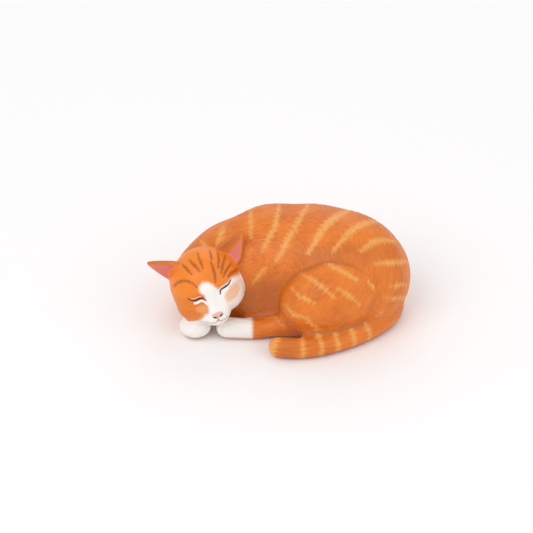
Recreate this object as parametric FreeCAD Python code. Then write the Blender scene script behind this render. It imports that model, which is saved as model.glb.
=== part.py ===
"""Sleeping cat figurine in glazed ceramic, built from separate slip castings.

The cat lies curled on its side: the back arches round the rear, the head rests on a front paw
at the left, the thigh bulges at the right front, the hind foot reaches forward under the chin
and the tail wraps round the front. Each casting is its own solid and meets its neighbours face
to face, as parts luted together with slip do. The torso, thigh and head castings are hollow,
and small air holes join their cavities to the outside through the floor of the torso.

Units are millimetres. +X is to the viewer's right, +Y goes from the front of the cat to its
back, +Z is up. The origin is the middle of the felt's underside, on the surface that the
figurine stands on. The sizes below are drawn in a working frame of the same directions, and
the finished pieces are moved to the origin together.
"""

import FreeCAD
import Part
import math
import os

Vector = FreeCAD.Vector
Rotation = FreeCAD.Rotation

# ---- Driving dimensions -------------------------------------------------------------------

felt_thickness = 1.0  # glued under the torso, lifts the ceramic off the table
felt_inset = 5.0  # the felt stops this far inside the torso's foot
wall = 3.2  # slip-cast wall of the torso, head and thigh
air_hole_diameter = 3.6  # lets air out of each cavity during firing

base_z = felt_thickness  # every casting is ground flat at this height
limb_sink = 0.7  # limbs are ground away by this much underneath, which leaves them a flat

# Torso: balls along the curled spine, from the shoulder round the back to the rump, and the
# tucked belly. Each is (x, y, height of its centre above the base, radius).
spine_balls = [
    (-29.8, 43.5, 13.0, 16.6),
    (-19.0, 47.5, 16.5, 20.6),
    (-2.0, 50.0, 19.2, 24.2),
    (15.0, 47.0, 19.8, 25.2),
    (29.0, 42.0, 19.6, 25.0),
    (36.5, 37.5, 18.0, 21.6),
]
belly_balls = [
    (-9.0, 38.5, 5.0, 15.5),
    (12.0, 34.0, 5.0, 18.0),
]
torso_blend = 2.2  # how softly the torso's balls run into each other
torso_centre = (3.0, 44.0)  # the point that the torso's outline is drawn round

# Thigh: one squat ellipsoid laid against the torso's right front.
thigh_centre = (23.3, 22.0, 19.6)
thigh_radii = (23.5, 14.8, 16.5)
thigh_roll = 14.0  # degrees about Y, raises the side towards the rump
thigh_yaw = 15.0  # degrees about Z, sets that side back

# Hind foot: shank and foot, from inside the thigh towards the chin.
foot_start = (2.5, 18.6)  # where the shank leaves the thigh
foot_length = 30.0  # from there to the toes
foot_radius = 4.5
shank_radius = 4.0
knee_radius = 5.8  # of the shank where it leaves the thigh
shank_share = 0.4  # of the foot's length, slimmest here
heel_share = 0.72  # of the foot's length, full thickness from here
shank_tenon = 18.0  # the shank is drawn this far under the thigh, then cut to it

# Tail: starts inside the rump, leaves its side and wraps round the front to a blunt tip.
tail_points = [
    (42.5, 46.5),
    (51.2, 38.5),
    (50.0, 31.0),
    (45.8, 24.0),
    (38.6, 17.0),
    (27.6, 9.9),
    (14.5, 4.6),
    (3.0, 4.0),
    (-4.2, 6.0),
]
tail_root_radius = 4.2
tail_middle_radius = 4.8
tail_tip_radius = 4.3

# Front paw: lies on its side under the cheek.
paw_centre = (-36.6, 19.6, 4.3)
paw_radii = (7.0, 6.4, 4.9)
forearm_end = (-27.5, 37.5, 4.2)  # inside the torso, then cut to it
forearm_bend = (-32.6, 27.0)  # where the forearm turns in under the cheek
forearm_radius = 4.4

# Head: its centre, then how the face is turned from looking straight along -Y.
head_centre = (-31.4, 27.0, 20.6)
head_pitch = 17.0  # face tipped up
head_yaw = 5.0  # face turned to the viewer's right
head_roll = 19.0  # crown leaning to the viewer's left
skull_offset = (0.2, 2.8, -0.8)  # across, up, forward
skull_radii = (15.7, 15.2, 15.2)
cheek_offset = (7.0, -3.8, 4.6)
cheek_radii = (7.9, 7.4, 7.8)
muzzle_offset = (0.0, -7.6, 12.4)
muzzle_radii = (6.6, 5.2, 4.8)
chin_offset = (0.0, -10.9, 10.6)
chin_radii = (4.0, 2.7, 4.0)
head_blend = 1.3

# Ears: where each springs from the head, in the head's own across, up and forward axes. Side 1
# is the viewer's right and side -1 the viewer's left.
ear_offsets = {1: (15.6, 11.8, 0.2), -1: (-12.4, 13.6, -0.5)}
ear_twists = {1: 0.0, -1: -35.0}  # degrees about the ear's length, turns its opening down
ear_lean = 52.0  # degrees from straight up, out to the side
ear_tilt = 6.0  # degrees back from the face plane
ear_length = 10.9
ear_width = 11.6
ear_depth = 5.0
ear_lip = 0.85  # thickness of the rim round the hollow
ear_root = 4.0  # length of the ear below the point that it springs from
ear_hollow_shift = 1.7  # the hollow sits this far forward of the ear's middle

# How finely the curved skins are drawn.
ring_points = 28
ring_step = 8.0  # degrees between rings
cap_angle = 5.0  # degrees from the pole to the small flat that closes the top


# ---- Smooth bodies from balls -------------------------------------------------------------


def ellipsoid_gap(point, centre, radii):
    """Distance from a point to an ellipsoid's skin, close to it; negative inside."""
    k0 = math.sqrt(sum(((p - c) / r) ** 2 for p, c, r in zip(point, centre, radii)))
    k1 = math.sqrt(sum(((p - c) / (r * r)) ** 2 for p, c, r in zip(point, centre, radii)))
    if k1 < 1e-9:
        return -min(radii)
    return k0 * (k0 - 1.0) / k1


def blended_gap(point, lumps, blend):
    """Distance to the skin of several ellipsoids run together; negative inside."""
    gaps = [ellipsoid_gap(point, centre, radii) for centre, radii in lumps]
    least = min(gaps)
    return least - blend * math.log(sum(math.exp((least - g) / blend) for g in gaps))


def reach(lumps, blend, start, direction, inset):
    """How far a ray goes from start until it leaves the skin that lies inset below the lumps."""
    length = max(abs(c - s) + r for centre, radii in lumps for c, s, r in zip(centre, start, radii)) * 2
    for _ in range(200):
        point = [s + d * length for s, d in zip(start, direction)]
        gap = blended_gap(point, lumps, blend) + inset
        if gap < 0.0005:
            break
        length -= gap * 0.8
    return length


def ring_wire(points):
    """A closed smooth wire through points."""
    curve = Part.BSplineCurve()
    curve.interpolate([Vector(*p) for p in points], PeriodicFlag=True)
    return Part.Wire([curve.toShape()])


def flattened(points):
    """The points moved onto the plane that fits them, so that a flat face can close their ring."""
    places = [Vector(*p) for p in points]
    centre = Vector(0, 0, 0)
    for place in places:
        centre += place * (1.0 / len(places))
    normal = Vector(0, 0, 0)
    for place, following in zip(places, places[1:] + places[:1]):
        normal += (place - centre).cross(following - centre)
    normal.normalize()
    return [place - normal * (place - centre).dot(normal) for place in places]


def skin_solid(lumps, blend, start, inset=0.0, whole=False):
    """A solid inside the lumps' skin, drawn as rings round the Z direction from start.

    With whole, the rings run from pole to pole. Otherwise they start on a flat foot at the
    height of start and close over the top. A small flat closes each pole.
    """
    lowest = 180.0 - cap_angle if whole else 90.0
    count = round((lowest - cap_angle) / ring_step)
    sections = []
    for i in range(count + 1):
        tilt = math.radians(lowest + (cap_angle - lowest) * i / count)
        points = []
        for j in range(ring_points):
            around = 2 * math.pi * j / ring_points
            direction = (math.sin(tilt) * math.cos(around), math.sin(tilt) * math.sin(around),
                         math.cos(tilt))
            length = reach(lumps, blend, start, direction, inset)
            points.append([s + d * length for s, d in zip(start, direction)])
        if i == count or (whole and i == 0):
            points = flattened(points)
        sections.append(ring_wire(points))
    return solid_of(Part.makeLoft(sections, True, False))


def solid_of(shape):
    """The shape as outward-facing solid material."""
    solid = shape if shape.ShapeType == "Solid" else Part.Solid(shape.Shells[0])
    if solid.Volume < 0:
        solid.reverse()
    return solid


# ---- Limbs swept along a curve ------------------------------------------------------------


def limb(points, radii):
    """A round limb through points, with radii at the points and a rounded far end."""
    path = Part.BSplineCurve()
    path.interpolate([Vector(*p) for p in points])
    length = path.length()
    spans = len(points) - 1
    stations = 3 * spans
    end_radius = radii[-1]
    shares = [i / stations * (1 - end_radius / length) for i in range(stations + 1)]
    dome_steps = 5
    dome = [1 - end_radius / length * (1 - math.sin(math.pi / 2 * k / dome_steps))
            for k in range(1, dome_steps)]
    sections = []
    for share in shares + dome:
        parameter = path.parameterAtDistance(share * length, path.FirstParameter)
        place = share * spans
        index = min(int(place), spans - 1)
        radius = radii[index] + (radii[index + 1] - radii[index]) * (place - index)
        left = (1 - share) * length
        if left < end_radius:
            radius *= math.sqrt(max(0.0, 1 - (1 - left / end_radius) ** 2))
        circle = Part.Circle(path.value(parameter), path.tangent(parameter)[0], radius)
        sections.append(Part.Wire([circle.toShape()]))
    sections.append(Part.Vertex(path.value(path.LastParameter)))
    return solid_of(Part.makeLoft(sections, True, False))


def ellipsoid(centre, radii):
    """A solid ellipsoid with its radii along X, Y and Z."""
    matrix = FreeCAD.Matrix()
    matrix.scale(Vector(*radii))
    matrix.move(Vector(*centre))
    return Part.makeSphere(1.0).transformGeometry(matrix)


def above(shape, height):
    """The part of a shape over a level plane."""
    box = shape.BoundBox
    if box.ZMin >= height:
        return shape
    block = Part.makeBox(box.XLength + 2, box.YLength + 2, height - box.ZMin + 1,
                         Vector(box.XMin - 1, box.YMin - 1, box.ZMin - 1))
    return shape.cut(block)


def biggest(shape):
    """The largest solid of a cut, without loose crumbs."""
    return max(shape.Solids, key=lambda s: s.Volume)


def air_hole(start, end):
    """A drilled passage between two points."""
    way = Vector(*end) - Vector(*start)
    return Part.makeCylinder(air_hole_diameter / 2, way.Length, Vector(*start), way)


# ---- Torso --------------------------------------------------------------------------------

torso_lumps = [((x, y, base_z + z), (r, r, r)) for x, y, z, r in spine_balls + belly_balls]
torso_start = (torso_centre[0], torso_centre[1], base_z)
torso_outer = skin_solid(torso_lumps, torso_blend, torso_start)
cavity_start = (torso_centre[0], torso_centre[1], base_z + wall)
torso_cavity = skin_solid(torso_lumps, torso_blend, cavity_start, inset=wall)

# ---- Head ---------------------------------------------------------------------------------

turn = (Rotation(Vector(0, 0, 1), head_yaw)
        * Rotation(Vector(1, 0, 0), -head_pitch)
        * Rotation(Vector(0, -1, 0), head_roll))
head_across = turn.multVec(Vector(1, 0, 0))
head_up = turn.multVec(Vector(0, 0, 1))
head_forward = turn.multVec(Vector(0, -1, 0))


def from_head(across, up, forward):
    """A point in the head's own axes, in the figurine's frame."""
    return Vector(*head_centre) + head_across * across + head_up * up + head_forward * forward


def head_skin(inset):
    """The head's solid, drawn in its own axes and then put in place."""
    lumps = [(skull_offset, skull_radii)]
    for side in (-1, 1):
        lumps.append(((side * cheek_offset[0], cheek_offset[1], cheek_offset[2]), cheek_radii))
    lumps.append((muzzle_offset, muzzle_radii))
    lumps.append((chin_offset, chin_radii))
    solid = skin_solid(lumps, head_blend, (0, -2, 2), inset, whole=True)
    placing = FreeCAD.Matrix(
        head_across.x, head_up.x, head_forward.x, head_centre[0],
        head_across.y, head_up.y, head_forward.y, head_centre[1],
        head_across.z, head_up.z, head_forward.z, head_centre[2],
        0, 0, 0, 1)
    solid.Placement = FreeCAD.Placement(placing)
    return solid


head_outer = head_skin(0.0)
head_cavity = head_skin(wall)

# ---- Ears ---------------------------------------------------------------------------------


def ear_section(height, grow, shift):
    """One ellipse across an ear at a height, made smaller by grow and moved forward by shift."""
    share = max(0.0, height / ear_length)
    half_width = ear_width / 2 * (1 - share) ** 0.75 - grow
    half_depth = ear_depth / 2 * (1 - share) ** 0.6 - grow
    circle = Part.makeCircle(1.0)
    matrix = FreeCAD.Matrix()
    matrix.scale(Vector(half_width, half_depth, 1))
    matrix.move(Vector(0, -shift, height))
    return Part.Wire([circle.transformGeometry(matrix).Edges[0]])


def ear(side):
    """One ear, drawn upright with its opening towards -Y and then leant into place."""
    heights = [-ear_root, 0.0, 0.25 * ear_length, 0.5 * ear_length, 0.72 * ear_length,
               0.88 * ear_length, 0.97 * ear_length]
    outer = [ear_section(h, 0.0, 0.0) for h in heights]
    shell = solid_of(Part.makeLoft(outer, True, False))
    hollow = [ear_section(h, ear_lip, ear_hollow_shift) for h in heights[:-2]]
    shell = shell.cut(solid_of(Part.makeLoft(hollow, True, False)))
    lean = (Rotation(Vector(0, -1, 0), -side * ear_lean)
            * Rotation(Vector(1, 0, 0), -ear_tilt)
            * Rotation(Vector(0, 0, 1), ear_twists[side]))
    spring = from_head(*ear_offsets[side])
    shell.Placement = FreeCAD.Placement(spring, turn * lean)
    return biggest(shell.cut(head_outer).cut(torso_outer))


# ---- Thigh, hind foot, tail and front paw -------------------------------------------------


def thigh_solid(inset):
    """The thigh's ellipsoid, inset from its skin, cut flat underneath."""
    solid = ellipsoid((0, 0, 0), [r - inset for r in thigh_radii])
    turned = Rotation(Vector(0, 0, 1), thigh_yaw) * Rotation(Vector(0, 1, 0), -thigh_roll)
    solid.Placement = FreeCAD.Placement(Vector(*thigh_centre), turned)
    return above(solid, base_z + inset)


def foot_point(share, radius):
    """A point on the middle line of the shank and foot, by its share of their length."""
    return (foot_start[0] - share * foot_length, foot_start[1], base_z + radius - limb_sink)


thigh_outer = thigh_solid(0.0)
thigh_cavity = biggest(thigh_solid(wall).cut(torso_outer))
thigh = biggest(thigh_outer.cut(torso_outer).cut(thigh_cavity))

foot_outer = above(limb(
    [foot_point(-shank_tenon / foot_length, knee_radius),
     foot_point(0.0, knee_radius),
     foot_point(shank_share, shank_radius),
     foot_point(heel_share, foot_radius),
     foot_point(1.0, foot_radius)],
    [knee_radius, knee_radius, shank_radius, foot_radius, foot_radius]), base_z)
hind_foot = biggest(foot_outer.cut(thigh_outer).cut(torso_outer))

tail_radii = [tail_root_radius] + [
    tail_middle_radius + (tail_tip_radius - tail_middle_radius) * i / (len(tail_points) - 2)
    for i in range(len(tail_points) - 1)
]
tail_outer = above(limb(
    [(x, y, base_z + r - limb_sink) for (x, y), r in zip(tail_points, tail_radii)],
    tail_radii), base_z)
tail = biggest(tail_outer.cut(torso_outer).cut(thigh_outer).cut(foot_outer))

paw_tip = ellipsoid((paw_centre[0], paw_centre[1], base_z + paw_centre[2]), paw_radii)
forearm = limb(
    [(forearm_end[0], forearm_end[1], base_z + forearm_end[2]),
     (forearm_bend[0], forearm_bend[1], base_z + forearm_end[2]),
     (paw_centre[0], paw_centre[1], base_z + paw_centre[2])],
    [forearm_radius, forearm_radius, forearm_radius])
paw_outer = above(paw_tip.fuse(forearm), base_z)
front_paw = biggest(paw_outer.cut(torso_outer).cut(head_outer).cut(foot_outer))

# ---- Hollow castings and their air holes --------------------------------------------------

shoulder = torso_lumps[1][0]
neck_hole = air_hole(head_centre, shoulder)
thigh_hollow = (thigh_centre[0], thigh_centre[1] - 0.6 * thigh_radii[1], thigh_centre[2])
thigh_hole = air_hole(thigh_hollow, (thigh_centre[0], torso_centre[1], thigh_centre[2]))
floor_hole = air_hole(
    (torso_centre[0], torso_centre[1], 0), (torso_centre[0], torso_centre[1], base_z + 2 * wall))

torso = torso_outer.cut(torso_cavity).cut(floor_hole).cut(neck_hole).cut(thigh_hole)
torso = biggest(torso)
head = head_outer.cut(torso_outer).cut(foot_outer)
head = biggest(biggest(head).cut(head_cavity).cut(neck_hole))

# ---- Felt under the torso -----------------------------------------------------------------

felt_points = []
for j in range(ring_points):
    angle = 2 * math.pi * j / ring_points
    direction = (math.cos(angle), math.sin(angle), 0)
    length = reach(torso_lumps, torso_blend, torso_start, direction, 0.0) - felt_inset
    felt_points.append((torso_start[0] + direction[0] * length,
                        torso_start[1] + direction[1] * length, 0.0))
felt = Part.Face(ring_wire(felt_points)).extrude(Vector(0, 0, felt_thickness))
felt_middle = [(min(p[axis] for p in felt_points) + max(p[axis] for p in felt_points)) / 2
               for axis in (0, 1)]

# ---- Export -------------------------------------------------------------------------------

pieces = {
    "torso": torso,
    "thigh": thigh,
    "hind_foot": hind_foot,
    "tail": tail,
    "front_paw": front_paw,
    "head": head,
    "ear_left": ear(1),
    "ear_right": ear(-1),
    "base_felt": felt,
}

to_origin = Vector(-felt_middle[0], -felt_middle[1], 0)
os.makedirs("parts", exist_ok=True)
for name, shape in pieces.items():
    placed = shape.copy()
    placed.translate(to_origin)
    placed.exportStep(os.path.join("parts", name + ".step"))
    print(f"{name:10s} valid {placed.isValid()} solids {len(placed.Solids)} "
          f"volume {placed.Volume:9.1f} mm3")
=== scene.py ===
"""Sleeping cat figurine: carved slip castings under a hand-painted satin glaze.

The castings are carved as one skin, so that the luted joins run softly into each other, and the
skin is then parted along the joins into one closed piece for each casting. Coat, face, markings,
painted shade and painted highlights are worked out from the sizes of the castings. Lengths are in
millimetres here and are turned into metres where a mesh is made.
"""

import math

import bmesh
import bpy
import numpy as np
from mathutils import Matrix, Vector, noise
from mathutils.bvhtree import BVHTree


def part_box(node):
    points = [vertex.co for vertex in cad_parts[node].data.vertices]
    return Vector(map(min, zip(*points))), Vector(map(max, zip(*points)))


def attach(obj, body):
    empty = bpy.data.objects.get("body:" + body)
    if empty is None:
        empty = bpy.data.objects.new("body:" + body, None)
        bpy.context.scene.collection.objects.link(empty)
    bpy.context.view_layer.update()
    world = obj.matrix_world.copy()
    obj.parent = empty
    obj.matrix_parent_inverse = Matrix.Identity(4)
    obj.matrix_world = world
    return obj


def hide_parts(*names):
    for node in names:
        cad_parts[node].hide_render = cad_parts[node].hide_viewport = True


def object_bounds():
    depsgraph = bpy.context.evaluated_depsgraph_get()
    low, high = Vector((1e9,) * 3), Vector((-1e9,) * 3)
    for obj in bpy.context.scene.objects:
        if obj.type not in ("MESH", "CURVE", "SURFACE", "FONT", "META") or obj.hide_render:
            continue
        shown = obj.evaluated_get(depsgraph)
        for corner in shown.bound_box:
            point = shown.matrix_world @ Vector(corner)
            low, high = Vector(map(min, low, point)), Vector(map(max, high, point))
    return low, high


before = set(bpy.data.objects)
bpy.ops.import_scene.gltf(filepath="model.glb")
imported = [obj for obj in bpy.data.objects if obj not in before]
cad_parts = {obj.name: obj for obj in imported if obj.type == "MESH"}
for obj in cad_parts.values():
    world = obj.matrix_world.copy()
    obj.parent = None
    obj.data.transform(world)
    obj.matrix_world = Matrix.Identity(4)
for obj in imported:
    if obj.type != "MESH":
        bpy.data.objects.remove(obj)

CAD_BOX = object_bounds()
MM = 0.001

bl_info = {
    "name": "Sleeping Cat Figurine",
    "version": (1, 0, 0),
    "blender": (4, 5, 0),
    "location": "View3D > Sidebar > Figurine",
    "description": "Carves, paints and stages a sleeping cat figurine in glazed ceramic",
    "category": "Object",
}

SLOTS = {
    "torso": "ginger_glaze", "thigh": "ginger_glaze", "tail": "ginger_glaze",
    "hind_foot": "white_sock_glaze", "front_paw": "white_sock_glaze",
    "head": "face_glaze", "ear_left": "ear_glaze", "ear_right": "ear_glaze",
}
CASTINGS = tuple(SLOTS)


# ---- Sizes and colours that a user would change


def length_setting(name, description, default):
    return bpy.props.FloatProperty(name=name, description=description, default=default, min=0.0)


def colour_setting(name, description, default):
    return bpy.props.FloatVectorProperty(
        name=name, description=description, subtype="COLOR", size=3, min=0.0, max=1.0, default=default)


class CastingSizes(bpy.types.PropertyGroup):
    grain_mm: length_setting("Skin grain", "Spacing of the points of the carved skin, in mm", 0.46)
    head_bead_mm: length_setting("Head slip", "Radius of the slip in the joints by the head, in mm", 0.30)
    body_bead_mm: length_setting("Body slip", "Radius of the slip in the body's joints, in mm", 1.3)
    lock_depth_mm: length_setting("Lock depth", "Depth of the grooves between locks of fur, in mm", 0.22)
    lock_length_mm: length_setting("Lock length", "Length of a lock of fur, in mm", 9.0)
    lock_width_mm: length_setting("Lock width", "Width of a lock of fur, in mm", 1.7)
    wall_mm: length_setting("Limb wall", "Thickness of the shell of a limb, in mm", 0.8)
    ear_wall_mm: length_setting("Ear wall", "Thickness of the shell of an ear, in mm", 0.2)


class GlazeColours(bpy.types.PropertyGroup):
    ginger: colour_setting("Ginger", "Main coat", (0.760, 0.195, 0.018))
    ginger_deep: colour_setting("Deep ginger", "Shaded coat", (0.640, 0.150, 0.014))
    ginger_bright: colour_setting("Bright ginger", "Crown of the head", (0.930, 0.250, 0.014))
    # Umber is painted shade in the hollows, the creases and the ears' hollows, and also the colour of the
    # mouth lines
    umber: colour_setting("Umber", "Hollow between head and haunch", (0.470, 0.120, 0.018))
    bark: colour_setting("Bark", "Streaks on the forehead and brows", (0.330, 0.062, 0.010))
    cream: colour_setting("Cream", "Tabby stripes", (0.880, 0.430, 0.110))
    # White is also used for the painted highlights over and under the closed eyes
    white: colour_setting("White", "Blaze, muzzle, paw and foot", (0.930, 0.890, 0.850))
    # Peach is the cheek patches and also painted shade along the bottom of the white paw and foot
    peach: colour_setting("Peach", "Patches on the cheeks", (0.830, 0.400, 0.170))
    pink: colour_setting("Pink", "Inside the ears, and the nose", (0.740, 0.200, 0.150))
    ink: colour_setting("Ink", "Closed eyes and mouth", (0.045, 0.022, 0.014))


class StageSizes(bpy.types.PropertyGroup):
    elevation: bpy.props.FloatProperty(
        name="Elevation", description="Height of the view above the horizon", subtype="ANGLE",
        default=math.radians(35.0))
    distance: bpy.props.FloatProperty(
        name="Distance", description="From the camera to the figurine", unit="LENGTH", default=1.3)
    view_width: bpy.props.FloatProperty(
        name="View width", description="Width that the view takes in at the figurine", unit="LENGTH",
        default=0.2354)


# ---- Places, read from the castings


def corner(node, which):
    """The lowest (0) or highest (1) corner of a casting, in mm."""
    return np.array(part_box(node)[which]) / MM


def middle(node):
    return (corner(node, 0) + corner(node, 1)) / 2


LEAN = math.radians(35.0)
CURL_NORMAL = np.array([0.0, math.cos(LEAN), -math.sin(LEAN)])  # the body curls in the plane across this
CURL_UP = np.array([0.0, math.sin(LEAN), math.cos(LEAN)])
CURL_CENTRE = middle("torso") * (1, 0, 0) + np.array([-12.0, -1.7, 14.9])


def on_curl_plane(points):
    """Places seen along the line that the body curls round, from the curl's centre."""
    offset = points - CURL_CENTRE
    return np.stack([offset[:, 0], offset @ CURL_UP], axis=1)


HEAD_CENTRE = middle("head") + np.array([0.11, 2.29, -2.34])
HEAD_TURN = (Matrix.Rotation(math.radians(5.0), 3, "Z")
             @ Matrix.Rotation(math.radians(-17.0), 3, "X")
             @ Matrix.Rotation(math.radians(19.0), 3, Vector((0, -1, 0))))
HEAD_AXES = np.array([HEAD_TURN @ Vector((1, 0, 0)),
                      HEAD_TURN @ Vector((0, 0, 1)),
                      HEAD_TURN @ Vector((0, -1, 0))])  # across, up, forward


def in_head(points):
    """Places in the head's own across, up and forward axes."""
    return (points - HEAD_CENTRE) @ HEAD_AXES.T


# ---- Distances and curves


def smooth_step(low, high, value):
    share = np.clip((value - low) / (high - low), 0.0, 1.0)
    return share * share * (3.0 - 2.0 * share)


def line_gap(places, line):
    """Distance from each place to a chain of points, and how far along the chain it is."""
    line = np.array(line, float)
    spans = line[1:] - line[:-1]
    lengths = np.linalg.norm(spans, axis=1)
    before = np.concatenate([[0.0], np.cumsum(lengths)])
    best = np.full(len(places), 1e9)
    along = np.zeros(len(places))
    for i, span in enumerate(spans):
        share = np.clip(((places - line[i]) @ span) / (span @ span), 0.0, 1.0)
        gap = np.linalg.norm(places - line[i] - share[:, None] * span, axis=1)
        nearer = gap < best
        best[nearer] = gap[nearer]
        along[nearer] = (before[i] + share * lengths[i])[nearer]
    return best, along / before[-1]


def curve_through(points, steps=6):
    """A smooth chain through a few points."""
    points = [np.array(p, float) for p in points]
    padded = [2 * points[0] - points[1]] + points + [2 * points[-1] - points[-2]]
    chain = []
    for a, b, c, d in zip(padded, padded[1:], padded[2:], padded[3:]):
        for k in range(steps):
            t = k / steps
            chain.append(0.5 * ((2 * b) + (c - a) * t + (2 * a - 5 * b + 4 * c - d) * t ** 2
                                + (3 * b - a - 3 * c + d) * t ** 3))
    chain.append(points[-1])
    return chain


def blob_gap(places, centre, radii, turn=0.0):
    """Signed distance into an ellipse on a plane: positive inside, in mm."""
    cos, sin = math.cos(math.radians(turn)), math.sin(math.radians(turn))
    offset = places - np.array(centre)
    across = (offset[:, 0] * cos + offset[:, 1] * sin) / radii[0]
    up = (-offset[:, 0] * sin + offset[:, 1] * cos) / radii[1]
    size = np.sqrt(across ** 2 + up ** 2)
    return (1.0 - size) * min(radii)


def grain_noise(places, scale, seed):
    """Smooth noise from -1 to 1 at places, with a size along each of its three axes."""
    shift = Vector((seed * 17.3, seed * 5.9, seed * 11.1))
    scaled = places / np.array(scale)
    return np.array([noise.noise(Vector(p) + shift) for p in scaled])


# ---- The carved skin


AIR_HOLE = (-1.53, 3.22)  # in the torso's floor, from the felt's middle
PLUG_RADIUS = 2.4
PLUG_HEIGHT = 3.4
HEAD_SIDE = (-18.0, -10.0)  # the slip grows from the head's bead to the body's over these x
FAR = 9.0  # in mm, further from a marking than its edge can reach


def linked_object(name, data):
    item = bpy.data.objects.new(name, data)
    bpy.context.scene.collection.objects.link(item)
    return item


def joined_castings():
    """All the castings in one mesh, with a plug in the air hole under the felt."""
    mesh = bmesh.new()
    for name in CASTINGS:
        mesh.from_mesh(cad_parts[name].data)
    bmesh.ops.remove_doubles(mesh, verts=mesh.verts, dist=1e-7)
    felt = middle("base_felt")
    place = Vector((felt[0] + AIR_HOLE[0], felt[1] + AIR_HOLE[1], 1.0 + PLUG_HEIGHT / 2)) * MM
    bmesh.ops.create_cone(mesh, cap_ends=True, segments=24, radius1=PLUG_RADIUS * MM,
                          radius2=PLUG_RADIUS * MM, depth=PLUG_HEIGHT * MM,
                          matrix=Matrix.Translation(place))
    joined = bpy.data.meshes.new("joined_castings")
    mesh.to_mesh(joined)
    mesh.free()
    return joined


def remeshed(mesh, grain):
    """The mesh's skin, drawn again with even quads."""
    holder = linked_object("remesh_holder", mesh)
    modifier = holder.modifiers.new("Skin", "REMESH")
    modifier.mode = "VOXEL"
    modifier.voxel_size = grain * MM
    modifier.adaptivity = 0.0
    graph = bpy.context.evaluated_depsgraph_get()
    skin = bpy.data.meshes.new_from_object(holder.evaluated_get(graph))
    bpy.data.objects.remove(holder)
    bpy.data.meshes.remove(mesh)
    return skin


def vertex_places(mesh):
    flat = np.empty(len(mesh.vertices) * 3)
    mesh.vertices.foreach_get("co", flat)
    return flat.reshape(-1, 3) / MM


def vertex_normals(mesh):
    flat = np.empty(len(mesh.vertices) * 3)
    mesh.vertex_normals.foreach_get("vector", flat)
    return flat.reshape(-1, 3)


def set_places(mesh, places):
    mesh.vertices.foreach_set("co", (places * MM).ravel())
    mesh.update()


def edge_ends(mesh):
    flat = np.empty(len(mesh.edges) * 2, np.int64)
    mesh.edges.foreach_get("vertices", flat)
    return flat.reshape(-1, 2)


def island_of(count, ends):
    """A number for each vertex that is the same over each connected island."""
    island = np.arange(count)
    while True:
        least = island.copy()
        np.minimum.at(least, ends[:, 0], island[ends[:, 1]])
        np.minimum.at(least, ends[:, 1], island[ends[:, 0]])
        least = least[least]
        if (least == island).all():
            return island
        island = least


def outer_skin(mesh):
    """The mesh without the walls of its inner hollows."""
    places = vertex_places(mesh)
    island = island_of(len(places), edge_ends(mesh))
    names, counts = np.unique(island, return_counts=True)
    outer = names[np.argmax([np.ptp(places[island == n], axis=0).sum() if c > 50 else 0.0
                             for n, c in zip(names, counts)])]
    work = bmesh.new()
    work.from_mesh(mesh)
    work.verts.ensure_lookup_table()
    extra = [work.verts[i] for i in np.nonzero(island != outer)[0]]
    bmesh.ops.delete(work, geom=extra, context="VERTS")
    work.to_mesh(mesh)
    work.free()
    return mesh


def swollen(mesh, beads, sign):
    """The mesh with each point moved along its normal by the bead where it lies, out for sign 1."""
    places = vertex_places(mesh)
    bead = beads[0] + (beads[1] - beads[0]) * smooth_step(*HEAD_SIDE, places[:, 0])
    set_places(mesh, places + vertex_normals(mesh) * (sign * bead)[:, None])
    return mesh


def slip_filled(mesh, grain, beads):
    """The skin with slip in every gap narrower than twice the bead, as a luted joint has."""
    swelled = outer_skin(remeshed(swollen(mesh, beads, 1), grain))
    return swollen(swelled, beads, -1)


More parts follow.
